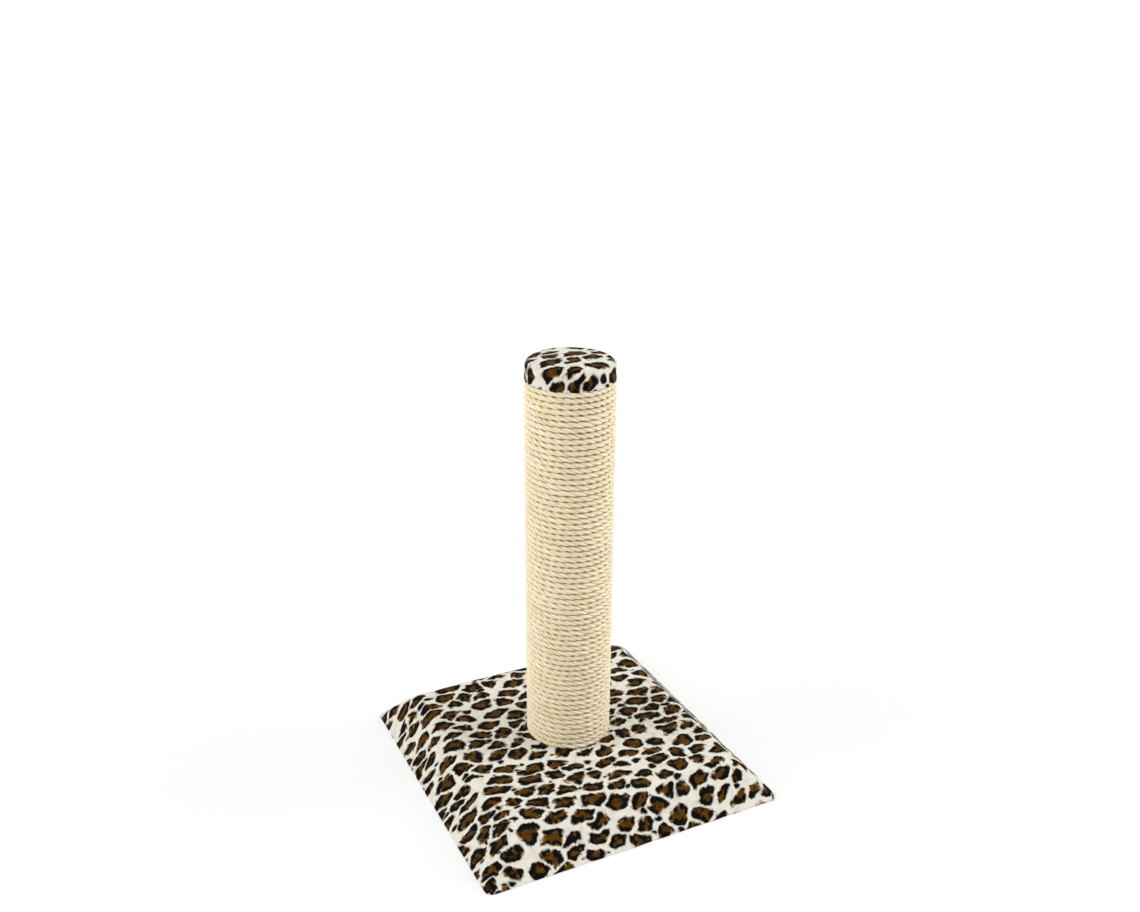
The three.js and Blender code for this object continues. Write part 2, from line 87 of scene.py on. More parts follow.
class Nodes:
    # A node tree, built up with short calls.
    def __init__(self, tree):
        self.tree = tree

    def add(self, kind, inputs=None, **settings):
        node = self.tree.nodes.new("ShaderNode" + kind)
        for key, value in settings.items():
            setattr(node, key, value)
        for key, value in (inputs or {}).items():
            self.plug(value, node.inputs[key])
        return node

    def plug(self, value, socket):
        if isinstance(value, bpy.types.NodeSocket):
            self.tree.links.new(value, socket)
        else:
            socket.default_value = value

    def math(self, operation, *values):
        return self.add("Math", dict(enumerate(values)), operation=operation).outputs[0]

    def times(self, first, second):
        return self.math("MULTIPLY", first, second)

    def minus(self, first, second):
        return self.math("SUBTRACT", first, second)

    def vector(self, operation, *values):
        return self.add("VectorMath", dict(enumerate(values)), operation=operation).outputs[0]

    def scale(self, place, factor):
        return self.add("VectorMath", {0: place, "Scale": factor}, operation="SCALE").outputs[0]

    def turned(self, place, angle):
        inputs = {"Vector": place, "Angle": angle}
        return self.add("VectorRotate", inputs, rotation_type="Z_AXIS").outputs[0]

    def noise(self, place, size, detail=1.0, roughness=0.5, output=0):
        inputs = {"Vector": place, "Scale": 1 / size, "Detail": detail, "Roughness": roughness}
        return self.add("TexNoise", inputs).outputs[output]

    def streaks(self, place, sizes, detail, roughness=0.5):
        # noise drawn out by a size of its own in each direction
        drawnOut = self.vector("MULTIPLY", place, tuple(1 / size for size in sizes))
        return self.noise(drawnOut, 1.0, detail, roughness)

    def cells(self, place, scale, scatter=1.0, **settings):
        inputs = {"Vector": place, "Scale": scale, "Randomness": scatter}
        return self.add("TexVoronoi", inputs, **settings).outputs

    def step(self, value, low, high):
        inputs = {0: value, 1: low, 2: high}
        return self.add("MapRange", inputs, interpolation_type="SMOOTHSTEP").outputs[0]

    def remap(self, value, fromLow, fromHigh, toLow, toHigh):
        inputs = {0: value, 1: fromLow, 2: fromHigh, 3: toLow, 4: toHigh}
        return self.add("MapRange", inputs).outputs[0]

    def mix(self, share, under, over):
        return self.add("Mix", {0: share, 6: under, 7: over}, data_type="RGBA").outputs[2]

    def bump(self, height, distance):
        return self.add("Bump", {"Height": height, "Distance": distance * mm}).outputs[0]


class Finish(Nodes):
    # One material on the Principled shader.
    def __init__(self, name, **sockets):
        self.material = bpy.data.materials.new(name)
        self.material.use_nodes = True
        super().__init__(self.material.node_tree)
        self.shader = self.tree.nodes["Principled BSDF"]
        for socket, value in sockets.items():
            self.plug(value, self.shader.inputs[socket.replace("_", " ")])

    def done(self, colour, normal, roughness=None):
        self.plug(colour, self.shader.inputs["Base Color"])
        self.plug(normal, self.shader.inputs["Normal"])
        if roughness:
            self.plug(roughness, self.shader.inputs["Roughness"])
        return self.material

    def objectPlace(self):
        # millimetres in the object's own frame
        return self.scale(self.add("TexCoord").outputs["Object"], 1000.0)


# The printed plush: a traditional leopard print, in millimetres of cloth.
printLook = {
    "spotSize": 18.9,  # between the middles of two spots
    "spotScatter": 0.7,
    "spotStretch": 1.5,  # spots are wider than high
    "spotTurn": 0.55,  # radians, so that spots don't line up with the base's sides
    "spotRadius": (8.3, 12.8),
    "spotSquash": (0.69, 1.45),  # each spot is an oval, at its own angle
    "roundness": 11.0,
    "bigWarp": (6.4, 17.0),  # how far, over what size
    "smallWarp": (2.0, 5.5),
    "pileTeeth": (1.1, 0.8, 4.0),  # how far the pile frays an edge; across it, along it
    "halfGap": (1.2, 2.3),  # half the cream strip between two spots
    "gapSize": 11.0,  # the length over which the strip's width changes
    "dotSize": 14.0,  # between the middles of two dots, where there is room for them
    "dotScatter": 0.8,
    "dotRadius": 3.4,
    "dotLeast": 1.3,
    "dotClear": 1.2,  # cream between a dot and the next spot
    "blackSize": 8.4,  # size of the black stretches on a spot's edge
    "blackGrowth": 34.0,
    "blackLevel": 0.38,
    "blackWidest": 4.6,
    "blackOutside": 1.1,
    "outsideFrom": (0.5, 3.5),  # how wide the black is where it runs out over the spot's edge
    "softEdge": 1.1,
    "softInside": 1.4,
    "rimWidth": 2.3,
    "rimShare": 0.75,
    "cream": linear(236, 232, 219),
    "creamShade": linear(220, 214, 198),
    "creamPatch": (9.0, (0.4, 0.75)),  # size of the shaded patches, and where they pass over
    "brown": linear(94, 62, 16),
    "brownShade": linear(68, 45, 10),
    "brownPatch": (5.0, (0.35, 0.7)),
    "orange": linear(172, 112, 42),
    "black": linear(11, 9, 7),
    "strand": (0.35, 1.6),  # width and length of the pile's strands
    "strandSpan": (0.25, 0.75),
    "strandShade": (0.88, 1.08),
    "pileHeight": 0.35,
    "strandShare": 0.6,  # of the height; the rest is the coarser pile
}


def warped(finish, place, reach, size):
    # a place, shifted up to reach each way by clouds of a size
    cloud = finish.noise(place, size, output="Color")
    shift = finish.vector("SUBTRACT", cloud, (0.5,) * 3)
    return finish.vector("ADD", place, finish.scale(shift, reach * 2))


def insideSpot(finish, place):
    # how far a place lies inside its spot's edge; less than nothing in the cream
    look = printLook
    scale, scatter = 1 / look["spotSize"], look["spotScatter"]
    nearest = finish.cells(place, scale, scatter, voronoi_dimensions="2D", feature="F1")
    border = finish.cells(place, scale, scatter, voronoi_dimensions="2D", feature="DISTANCE_TO_EDGE")
    luck = finish.add("SeparateColor", {0: nearest["Color"]}).outputs
    fromMiddle = finish.vector("SUBTRACT", place, nearest["Position"])
    along = finish.turned(fromMiddle, finish.times(luck[2], math.pi))
    squash = finish.remap(luck[1], 0.0, 1.0, *look["spotSquash"])
    stretch = finish.add("CombineXYZ", {0: squash, 1: finish.math("DIVIDE", 1.0, squash)})
    oval = finish.vector("MULTIPLY", along, stretch.outputs[0])
    toMiddle = finish.add("VectorMath", {0: oval}, operation="LENGTH").outputs["Value"]
    radius = finish.remap(luck[0], 0.0, 1.0, *look["spotRadius"])
    fromRound = finish.minus(radius, toMiddle)
    gap = finish.remap(finish.noise(place, look["gapSize"], 0.0), *noiseSpan, *look["halfGap"])
    toBorder = finish.times(border["Distance"], look["spotSize"])
    fromGap = finish.minus(toBorder, gap)
    return finish.math("SMOOTH_MIN", fromGap, fromRound, look["roundness"])


def insideDot(finish, place):
    # the same for small dots, which are as large as the cream round their middle leaves room for
    look = printLook
    scale, farOutside = 1 / look["dotSize"], 9.0
    nearest = finish.cells(place, scale, look["dotScatter"], voronoi_dimensions="2D", feature="F1")
    toSpot = finish.times(insideSpot(finish, nearest["Position"]), -1.0)
    radius = finish.math("MINIMUM", finish.minus(toSpot, look["dotClear"]), look["dotRadius"])
    shown = finish.math("GREATER_THAN", radius, look["dotLeast"])
    radius = finish.times(finish.math("ADD", radius, farOutside), shown)
    radius = finish.minus(radius, farOutside)
    toMiddle = finish.times(nearest["Distance"], look["dotSize"])
    return finish.minus(radius, toMiddle)


def makePlush():
    look = printLook
    finish = Finish("leopardPlush", Roughness=0.95, Specular_IOR_Level=0.08)
    cloth = finish.scale(finish.add("UVMap", uv_map="cloth").outputs[0], 1000.0)

    # the pile pulls every printed edge into small teeth
    reach, across, along = look["pileTeeth"]
    pile = finish.streaks(cloth, (across, along, 1.0), 2.0)
    tooth = finish.times(finish.minus(pile, 0.5), reach * 2)
    place = finish.vector("ADD", cloth, finish.add("CombineXYZ", {1: tooth}).outputs[0])
    for size in ("bigWarp", "smallWarp"):
        place = warped(finish, place, *look[size])
    place = finish.vector("MULTIPLY", place, (1 / look["spotStretch"], 1.0, 1.0))
    place = finish.turned(place, look["spotTurn"])
    inside = insideSpot(finish, place)

    # broken black border, thick on some sides and missing on others
    clumps = finish.minus(finish.noise(cloth, look["blackSize"]), look["blackLevel"])
    thick = finish.times(clumps, look["blackGrowth"])
    thick = finish.math("MINIMUM", thick, look["blackWidest"])
    outside = finish.times(finish.step(thick, *look["outsideFrom"]), look["blackOutside"])
    soft, softer = look["softEdge"], look["softInside"]
    spot = finish.step(inside, -soft, soft)
    beyond = finish.step(finish.minus(inside, thick), -softer, softer)
    ring = finish.step(finish.math("ADD", inside, outside), -soft, soft)
    black = finish.times(finish.minus(1.0, beyond), ring)
    black = finish.math("MAXIMUM", black, finish.step(insideDot(finish, place), -soft, soft))

    size, span = look["brownPatch"]
    tone = finish.step(finish.noise(cloth, size, 2.0), *span)
    brown = finish.mix(tone, look["brown"], look["brownShade"])
    rim = finish.minus(1.0, finish.step(inside, 0.0, look["rimWidth"]))
    brown = finish.mix(finish.times(rim, look["rimShare"]), brown, look["orange"])
    size, span = look["creamPatch"]
    tone = finish.step(finish.noise(cloth, size, 3.0), *span)
    cream = finish.mix(tone, look["cream"], look["creamShade"])
    colour = finish.mix(black, finish.mix(spot, cream, brown), look["black"])

    strands = finish.streaks(cloth, (*look["strand"], 1.0), 2.0)
    shade = finish.remap(strands, *look["strandSpan"], *look["strandShade"])
    colour = finish.add("HueSaturation", {"Color": colour, "Value": shade}).outputs[0]
    fine = finish.times(strands, look["strandShare"])
    coarse = finish.times(pile, 1 - look["strandShare"])
    return finish.done(colour, finish.bump(finish.math("ADD", fine, coarse), look["pileHeight"]))


def makePiece(name, points, faces, material):
    mesh = bpy.data.meshes.new(name)
    mesh.from_pydata([tuple(point) for point in points], [], faces)
    mesh.materials.append(material)
    mesh.shade_smooth()
    piece = bpy.data.objects.new(name, mesh)
    bpy.context.scene.collection.objects.link(piece)
    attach(piece, "root")
    return piece


def setClothMap(piece, places):
    # places: one pair of cloth metres for each vertex
    layer = piece.data.uv_layers.new(name="cloth")
    corner = np.zeros(len(piece.data.loops), np.int32)
    piece.data.loops.foreach_get("vertex_index", corner)
    layer.data.foreach_set("uv", np.asarray(places, np.float32)[corner].ravel())


def setAttribute(piece, name, values, kind="FLOAT", field="value"):
    layer = piece.data.attributes.new(name, kind, "POINT")
    layer.data.foreach_set(field, np.asarray(values, np.float32).ravel())


def smoothStep(value, low, high):
    share = np.clip((np.asarray(value, float) - low) / (high - low), 0, 1)
    return share * share * (3 - 2 * share)


# The base's driving sizes, as in the CAD, in millimetres.
baseSize = {
    "side": 350.0,
    "height": 41.0,
    "bevelRun": 38.5,
    "cornerRadius": 8.0,
    "ridgeRadius": 10.0,
    "hemInner": 150.0,
}
# How the cover and the wadding are divided, in steps and millimetres.
layerGrid = {
    "ridgeSteps": 6,
    "slopeSteps": 18,
    "foldSteps": 7,
    "leastRadius": 0.3,
    "flatSpacing": 3.4,
    "cornerSpacing": 1.3,
    "cornerRows": 9,
    "cornerFade": 34.0,  # the flat top's squares become round-cornered over this
    "hemFade": 14.0,  # and the hem's become square again
    "stapleRows": (160.5, 153.4, 0.7),  # close rows where the staples press the hem
    "lastRow": 152.0,
}
coverLook = {
    "thickness": 2.5,
    "foldRadius": 1.3,  # where the cloth turns under on the floor
    "innerFold": 0.25,
    "foldHeight": 6.0,
    "flare": 1.2,  # how far the fold stands out
    "flareZone": (160.0, 172.0),
    "unevenFold": (0.8, 15.0),  # how far the fold wanders in and out, over what length
    "fullness": (0.7, 2.0),  # how far the slopes swell, in the middle of a side and at a corner
    "cornerFrom": 0.72,  # where a side's corner begins, as a share of its half
    "slopeEnds": 2.0,  # height at the slope's foot and ridge that doesn't swell
    "waves": 0.7,  # how far the wadding lets the cloth swell and sink
    "waveSize": 48.0,
    "secondWave": (0.5, 2.3),  # how strong and how fine
    "postZone": (50.0, 74.0),  # the post holds the cloth down inside this
    "floorZone": (1.5, 9.0),
    "ridgeZone": (131.0, 141.0),
    "mitreZone": 12.0,
    "pressed": 1.1,  # how deep a staple pulls the hem in
    "dentWidth": 1.1,
    "dentLength": (4.5, 8.5),
    "hemZone": 168.0,
    "mitreDepth": 0.9,
    "mitreWidth": 1.6,
    "staples": 16,
}
bevelAngle = math.atan2(baseSize["height"], baseSize["bevelRun"])


def halfAt(z, inset):
    # half the base's width at a height, a layer's depth in from its surface
    size = baseSize
    return size["side"] / 2 - size["bevelRun"] * z / size["height"] - inset / math.sin(bevelAngle)


def layerProfile(inset, bottom, foldRadius=None):
    # half widths and heights of a layer, from the rim of its flat top outward and down
    grid = layerGrid
    radius = max(baseSize["ridgeRadius"] - inset, grid["leastRadius"])
    top = baseSize["height"] - inset
    rim = halfAt(top, inset) - radius * math.tan(bevelAngle / 2)
    profile = []
    for step in range(grid["ridgeSteps"] + 1):
        angle = bevelAngle * step / grid["ridgeSteps"]
        profile.append((rim + radius * math.sin(angle), top - radius * (1 - math.cos(angle))))
    edge = halfAt(bottom, inset)
    setBack = foldRadius / math.tan(bevelAngle / 2) if foldRadius else 0.0
    endOfSlope = (edge - setBack * math.cos(bevelAngle), bottom + setBack * math.sin(bevelAngle))
    startOfSlope = profile[-1]
    for step in range(1, grid["slopeSteps"] + 1):
        share = step / grid["slopeSteps"]
        profile.append(tuple(a + (b - a) * share for a, b in zip(startOfSlope, endOfSlope)))
    if foldRadius:
        middle, level = edge - setBack, bottom + foldRadius
        start = math.pi / 2 - bevelAngle
        for step in range(1, grid["foldSteps"] + 1):
            angle = start - (start + math.pi / 2) * step / grid["foldSteps"]
            profile.append((middle + foldRadius * math.cos(angle), level + foldRadius * math.sin(angle)))
        first, last, spacing = grid["stapleRows"]
        rows = np.arange(first, last, -spacing)
        halves = [(profile[-1][0] + first) / 2, *rows, grid["lastRow"], baseSize["hemInner"]]
        profile += [(half, bottom) for half in halves]
    return rim, profile


def roundedSquare(x, y, radius):
    # moves a point of a square ring onto the same ring with rounded corners
    half = max(abs(x), abs(y))
    start = half - radius
    low, high = min(abs(x), abs(y)), half
    if radius <= 0 or low <= start:
        return x, y
    angle = (low - start) / radius * math.pi / 4
    alongHigh, alongLow = start + radius * math.cos(angle), start + radius * math.sin(angle)
    a, b = (alongHigh, alongLow) if abs(x) >= abs(y) else (alongLow, alongHigh)
    return math.copysign(a, x), math.copysign(b, y)


def gridLines():
    # lines across the flat top, closer together towards the corners
    rim, rows, spacing = layerProfile(0, 0)[0], layerGrid["cornerRows"], layerGrid["cornerSpacing"]
    inner = rim - rows * spacing
    count = round(2 * inner / layerGrid["flatSpacing"])
    middle = np.linspace(-inner, inner, count + 1)
    ends = inner + spacing * np.arange(1, rows + 1)
    return np.concatenate([-ends[::-1], middle, ends]) / rim


def layerRings(inset, bottom, foldRadius, lines):
    # points of one layer: the flat grid, then the rings round it, with their cloth places
    rim, profile = layerProfile(inset, bottom, foldRadius)
    top = baseSize["height"] - inset
    corner = max(baseSize["cornerRadius"] - inset, layerGrid["leastRadius"])
    points, cloth = [], []
    for row in lines:
        for column in lines:
            reach = rim * max(abs(row), abs(column))
            rounding = corner * float(smoothStep(reach, rim - layerGrid["cornerFade"], rim))
            points.append((*roundedSquare(column * rim, row * rim, rounding), top))
            cloth.append((column * rim, row * rim))
    last = len(lines) - 1
    loop = [(column, 0) for column in range(last)] + [(last, row) for row in range(last)]
    loop += [(column, last) for column in range(last, 0, -1)] + [(0, row) for row in range(last, 0, -1)]
    length, before = rim, profile[0]
    for half, z in profile[1:]:
        length += math.hypot(half - before[0], z - before[1])
        before = (half, z)
        rounding = corner
        if foldRadius and z <= bottom + 1e-6:
            fade = layerGrid["hemFade"]
            rounding = corner * (1 - float(smoothStep(baseSize["hemInner"] + fade - half, 0, fade)))
        for column, row in loop:
            points.append((*roundedSquare(lines[column] * half, lines[row] * half, rounding), z))
            cloth.append((lines[column] * length, lines[row] * length))
    return points, cloth, loop, len(profile) - 1


def strip(first, second):
    # faces between two closed rows of points
    count = len(first)
    return [(first[i], second[i], second[(i + 1) % count], first[(i + 1) % count]) for i in range(count)]


def flipped(faces):
    return [tuple(reversed(face)) for face in faces]


def clothFaces(size, loop, ringCount, innerStart):
    # two layers, each a flat grid with rings round it, and the edge that joins them
    layers, ends = [], []
    for offset in (0, innerStart):
        corners = [offset + row * size + column for row in range(size - 1) for column in range(size - 1)]
        faces = [(a, a + 1, a + 1 + size, a + size) for a in corners]
        start = offset + size * size
        before = [offset + row * size + column for column, row in loop]
        for ring in range(ringCount):
            after = range(start + ring * len(loop), start + (ring + 1) * len(loop))
            faces += strip(before, after)
            before = after
        layers.append(faces)
        ends.append(before)
    return layers[0] + flipped(layers[1]) + strip(*ends)


def swell(x, y, z):
    # how far the wadding pushes the cloth out here
    look = coverLook
    onSide, atCorner = look["fullness"]
    nearness = min(abs(x), abs(y)) / max(abs(x), abs(y), 1e-6)
    corner = float(smoothStep(nearness, look["cornerFrom"], 1.0))
    climb = (z - look["slopeEnds"]) / (baseSize["height"] - 2 * look["slopeEnds"])
    full = math.sin(math.pi * min(max(climb, 0), 1)) * (onSide + (atCorner - onSide) * corner)
    place = Vector((x, y, z)) / look["waveSize"]
    share, fineness = look["secondWave"]
    wave = noise.noise(place) + share * noise.noise(place * fineness + Vector((7.0, 3.0, 1.0)))
    besidePost = smoothStep(math.hypot(x, y), *look["postZone"])
    aboveFloor = smoothStep(z, *look["floorZone"])
    return full + look["waves"] * wave * float(besidePost * aboveFloor)


def outwardAt(x, y):
    # the way the base's surface faces, near enough for small shifts
    if abs(abs(x) - abs(y)) < coverLook["mitreZone"]:
        across = Vector((x, y, 0)).normalized()
    elif abs(x) > abs(y):
        across = Vector((math.copysign(1, x), 0, 0))
    else:
        across = Vector((0, math.copysign(1, y), 0))
    tilt = bevelAngle * float(smoothStep(max(abs(x), abs(y)), *coverLook["ridgeZone"]))
    return (across * math.sin(tilt) + Vector((0, 0, 1)) * math.cos(tilt)).normalized()


def stapleSpots():
    # the middle and the direction of each staple's crown
    spots = []
    for number in range(1, coverLook["staples"] + 1):
        low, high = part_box(f"hem_staple_{number}")
        middle = (low + high) / 2 / mm
        alongX = high.x - low.x > high.y - low.y
        spots.append((middle.x, middle.y, alongX))
    return spots


def stapled(x, y, middleX, middleY, alongX):
    # how much of a staple's dent a point of the hem has
    look = coverLook
    along, across = (x - middleX, y - middleY) if alongX else (y - middleY, x - middleX)
    beyond = float(smoothStep(abs(along), *look["dentLength"]))
    return math.exp(-((across / look["dentWidth"]) ** 2)) * (1 - beyond)


def coverShift(x, y, z, staples):
    # from the plain bevelled form to the cloth's own: swollen above, uneven and pressed in below
    look = coverLook
    if z > look["foldHeight"]:
        return outwardAt(x, y) * swell(x, y, z)
    reach = max(abs(x), abs(y))
    wander, size = look["unevenFold"]
    fold = look["flare"] + wander * noise.noise(Vector((x, y, 4.0)) / size)
    flare = fold * (1 - z / look["foldHeight"]) * float(smoothStep(reach, *look["flareZone"]))
    shift = Vector((x, y, 0)).normalized() * flare
    if z < look["thickness"] / 2 and reach < look["hemZone"]:
        press = max(stapled(x, y, *spot) for spot in staples)
        mitre = math.exp(-(((abs(x) - abs(y)) / look["mitreWidth"]) ** 2))
        shift.z += max(look["pressed"] * press, look["mitreDepth"] * mitre)
    return shift


def makeBaseCover(plush):
    look, lines = coverLook, gridLines()
    outer, cloth, loop, rings = layerRings(0, 0, look["foldRadius"], lines)
    inner = layerRings(look["thickness"], look["thickness"], look["innerFold"], lines)[0]
    staples = stapleSpots()
    points = [Vector(place) + coverShift(*place, staples) for place in outer + inner]
    faces = clothFaces(len(lines), loop, rings, len(outer))
    piece = makePiece("baseCover", [point * mm for point in points], faces, plush)
    setClothMap(piece, np.array(cloth + cloth) * mm)
    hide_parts("base_cover")


waddingLook = {
    "thickness": 3.0,
    "gap": 0.3,  # between it and the cover
    "unevenness": (0.12, 9.0),  # how far it swells and sinks, over what length
    "tufts": (6.0, 4.0, 0.7),  # size, detail and roughness, for the colour
    "tuftHeight": 1.2,
    "shade": linear(226, 224, 218),
    "white": linear(246, 245, 241),
}


def makeFleece():
    look = waddingLook
    finish = Finish("polyesterWadding", Roughness=1.0, Sheen_Weight=0.3)
    tufts = finish.noise(finish.objectPlace(), *look["tufts"])
    colour = finish.mix(finish.step(tufts, *toneSpan), look["shade"], look["white"])
    return finish.done(colour, finish.bump(tufts, look["tuftHeight"]))


def makeBaseWadding(fleece):
    look = waddingLook
    inset = coverLook["thickness"] + look["gap"]
    lines = gridLines()[::2]
    outer, cloth, loop, rings = layerRings(inset, inset, None, lines)
    inner = layerRings(inset + look["thickness"], inset, None, lines)[0]
    height, size = look["unevenness"]
    points = []
    for place in outer + inner:
        tuft = height * noise.noise(Vector(place) / size)
        points.append(Vector(place) + outwardAt(*place[:2]) * (swell(*place) + tuft))
    faces = clothFaces(len(lines), loop, rings, len(outer))
    piece = makePiece("baseWadding", [point * mm for point in points], faces, fleece)
    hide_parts("base_wadding")


# The rope's sisal. The attribute laidOut holds the rope as if it lay straight and untwisted,
# in millimetres; lobe is 1 on a strand's back and 0 in the groove between two strands;
# depth is how far a point lies below the outermost strands, in millimetres.
sisalLook = {
    "light": linear(255, 250, 229),
    "middle": linear(251, 231, 187),
    "dark": linear(220, 187, 126),
    # painted shade for the grooves between strands, darker where the strands meet
    "paintedGrooveShade": linear(198, 162, 98),
    "grooveShadeLobe": 0.4,  # the painted groove shade fades out by this lobe
    "grooveShadeShare": 0.6,
    # painted shade for the places that lie deep, between strands and between turns, coming in over the
    # depths given next
    "deep": linear(204, 174, 104),
    "deepFrom": (1.4, 2.9),
    "fibre": (20.0, 1.2, 1.2),  # length, width and thickness of the streaks
    "fibreSpan": (0.36, 0.62),
    # stretches of darker fibre, then single dark fibres: size, detail, span and share
    "darkFibres": (
        ((55.0, 4.0, 4.0), 2.0, (0.5, 0.8), 0.5),
        ((9.0, 0.7, 0.7), 0.0, (0.66, 0.78), 0.7),
    ),
    "bumpHeight": 0.35,
}


def makeSisal():
    look = sisalLook
    finish = Finish("sisal", Roughness=0.6, Specular_IOR_Level=0.4)
    laidOut = finish.add("Attribute", attribute_name="laidOut").outputs["Vector"]
    lobe = finish.add("Attribute", attribute_name="lobe").outputs["Fac"]
    depth = finish.add("Attribute", attribute_name="depth").outputs["Fac"]
    streak = finish.streaks(laidOut, look["fibre"], 3.0)
    colour = finish.mix(finish.step(streak, *look["fibreSpan"]), look["middle"], look["light"])
    for sizes, detail, span, share in look["darkFibres"]:
        dark = finish.step(finish.streaks(laidOut, sizes, detail), *span)
        colour = finish.mix(finish.times(dark, share), colour, look["dark"])
    # painted shade in the grooves between the strands, where lobe is low
    paintedGrooveShade = finish.minus(1.0, finish.step(lobe, 0.0, look["grooveShadeLobe"]))
    colour = finish.mix(finish.times(paintedGrooveShade, look["grooveShadeShare"]), colour, look["paintedGrooveShade"])
    # painted shade where the rope lies deep below its outermost strands
    colour = finish.mix(finish.step(depth, *look["deepFrom"]), colour, look["deep"])
    return finish.done(colour, finish.bump(streak, look["bumpHeight"]))


# The rope's winding, as in the CAD, in millimetres.
ropeSize = {
    "firstZ": 44.16,  # middle of the first turn
    "rise": 6.168,
    "turns": 67,
    "startAngle": 80.0,
    "cadSteps": 12,
    "stepUp": 1 / 6,
    "centre": 44.1,
}
ropeLook = {
    "stepsPerTurn": 98,
    "halfAcross": 3.7,
    "halfUp": 3.38,
    "strands": 3,
    "strandPoints": (-60, -38, -14, 14, 38),  # degrees, the first in the groove before the strand
    "lay": 28.0,  # length in which a strand goes once round the rope
    "strandPush": 0.41,  # how far a strand's middle lies from the rope's, as a share
    "squareness": 2.7,  # the turns press each other flat; 2 would be round
    "laySlip": (2.6, 60.0),  # how far the twist runs ahead and falls behind, over what length
    "wander": (0.11, 16.0),  # how unevenly the strands are spun
    "unevenness": 0.28,  # how far the turns wander up and down on the tube
    "unevenSize": (1.9, 11.0),  # round the post and up it
    "levelling": 9,  # steps each way over which the climb is evened out
    "tubeSide": (0.86, 0.3),  # where the tube presses the rope flat, and what is left beyond
}


def ropeHeight(step):
    # as in the CAD: level at both ends, an even climb between
    size = ropeSize
    turn = min(int(step / size["cadSteps"]), size["turns"] - 1)
    along = step / size["cadSteps"] - turn
    share = step / (size["turns"] * size["cadSteps"])
    evenness = 1 - abs(1 - 2 * share)
    lateStep, earlyStep = max(0, 1 - (1 - along) / size["stepUp"]), min(1, along / size["stepUp"])
    level = lateStep if share < 0.5 else earlyStep
    return size["firstZ"] + size["rise"] * (turn + evenness * along + (1 - evenness) * level)


def ropePath():
    # the angle and the height of the rope's middle at every step
    look, size = ropeLook, ropeSize
    steps = size["turns"] * look["stepsPerTurn"]
    perStep = size["cadSteps"] / look["stepsPerTurn"]
    heights = np.array([ropeHeight(step * perStep) for step in range(steps + 1)])
    reach = look["levelling"]
    padded = np.concatenate([np.full(reach, heights[0]), heights, np.full(reach, heights[-1])])
    heights = np.convolve(padded, np.ones(2 * reach + 1) / (2 * reach + 1), "valid")
    turned = 2 * math.pi * np.arange(steps + 1) / look["stepsPerTurn"]
    angles = math.radians(size["startAngle"]) - turned
    across, upward = look["unevenSize"]
    for step, (angle, z) in enumerate(zip(angles, heights)):
        place = Vector((across * math.cos(angle), across * math.sin(angle), z / upward))
        heights[step] += look["unevenness"] * noise.noise(place)
    return angles, heights


def makeRope(sisal):
    look = ropeLook
    angles, heights = ropePath()
    count, strands = len(angles), look["strands"]
    length = np.arange(count) * (2 * math.pi * ropeSize["centre"] / look["stepsPerTurn"])
    fromMiddle = np.radians(look["strandPoints"])
    push, strand = look["strandPush"], 1 - look["strandPush"]
    reachOf = push * np.cos(fromMiddle) + np.sqrt(strand**2 - (push * np.sin(fromMiddle)) ** 2)
    starts = [np.radians(360 / strands * number) for number in range(strands)]
    around = np.concatenate([start + fromMiddle for start in starts])
    reach = np.tile(reachOf, strands)
    lobe = np.tile((reachOf - reachOf[0]) / (1 - reachOf[0]), strands)
    sides = len(around)

    slip, size = look["laySlip"]
    drift = slip * np.array([noise.noise(Vector((x / size, 0.3, 0.7))) for x in length])
    wander, size = look["wander"]
    rows = [[Vector((x / size, 5.0 * number, 2.1)) for number in range(strands)] for x in length]
    spun = np.array([[noise.noise(place) for place in row] for row in rows])
    thickness = 1 + wander * np.repeat(spun, len(fromMiddle), axis=1)
    theta = (2 * math.pi * length / look["lay"] + drift)[:, None] + around[None, :]
    power = look["squareness"]
    square = (np.abs(np.cos(theta)) ** power + np.abs(np.sin(theta)) ** power) ** (-1 / power)
    spread = reach[None, :] * thickness * square
    out = look["halfAcross"] * spread * np.cos(theta)
    up = look["halfUp"] * spread * np.sin(theta)
    flatAt, left = look["tubeSide"]
    wall = -flatAt * look["halfAcross"]
    out = np.where(out < wall, wall + left * (out - wall), out)
    radius = ropeSize["centre"] + out
    x, y = radius * np.cos(angles)[:, None], radius * np.sin(angles)[:, None]
    points = np.stack([x, y, heights[:, None] + up], axis=-1).reshape(-1, 3)

    faces = []
    for step in range(count - 1):
        for side in range(sides):
            a, b = step * sides + side, step * sides + (side + 1) % sides
            faces.append((a, b, b + sides, a + sides))
    faces.append(tuple(reversed(range(sides))))
    faces.append(tuple((count - 1) * sides + side for side in range(sides)))
    piece = makePiece("sisalRope", points * mm, faces, sisal)
    section = look["halfAcross"] * reach
    untwisted = (length[:, None], section * np.cos(around), section * np.sin(around))
    straight = np.stack(np.broadcast_arrays(*untwisted), axis=-1)
    setAttribute(piece, "laidOut", straight, "FLOAT_VECTOR", "vector")
    setAttribute(piece, "lobe", np.tile(lobe, count))
    setAttribute(piece, "depth", look["halfAcross"] - out)
    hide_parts("sisal_rope")
    print(f"rope: {length[-1] / 1000:.1f} m in {ropeSize['turns']} turns, {len(points)} points")


fibreLook = {
    "count": 1500,
    "length": (3.0, 13.0),
    "width": 0.11,
    "taper": 0.7,  # share of the width that is gone at the tip
    "around": 1.1,  # radians up and down the rope's outer side
    "root": (3.1, 3.0),  # how far out and up from the rope's middle it starts
    "rise": (0.1, 0.75),  # how steeply a fibre leaves the rope
    "sideways": 0.5,
    "curl": 0.22,
    "fallBack": 0.16,
    "toneShift": (0.37, 0.2, 0.11),  # sets the fibres' tones apart
    "segments": 5,
    "seed": 23,
}


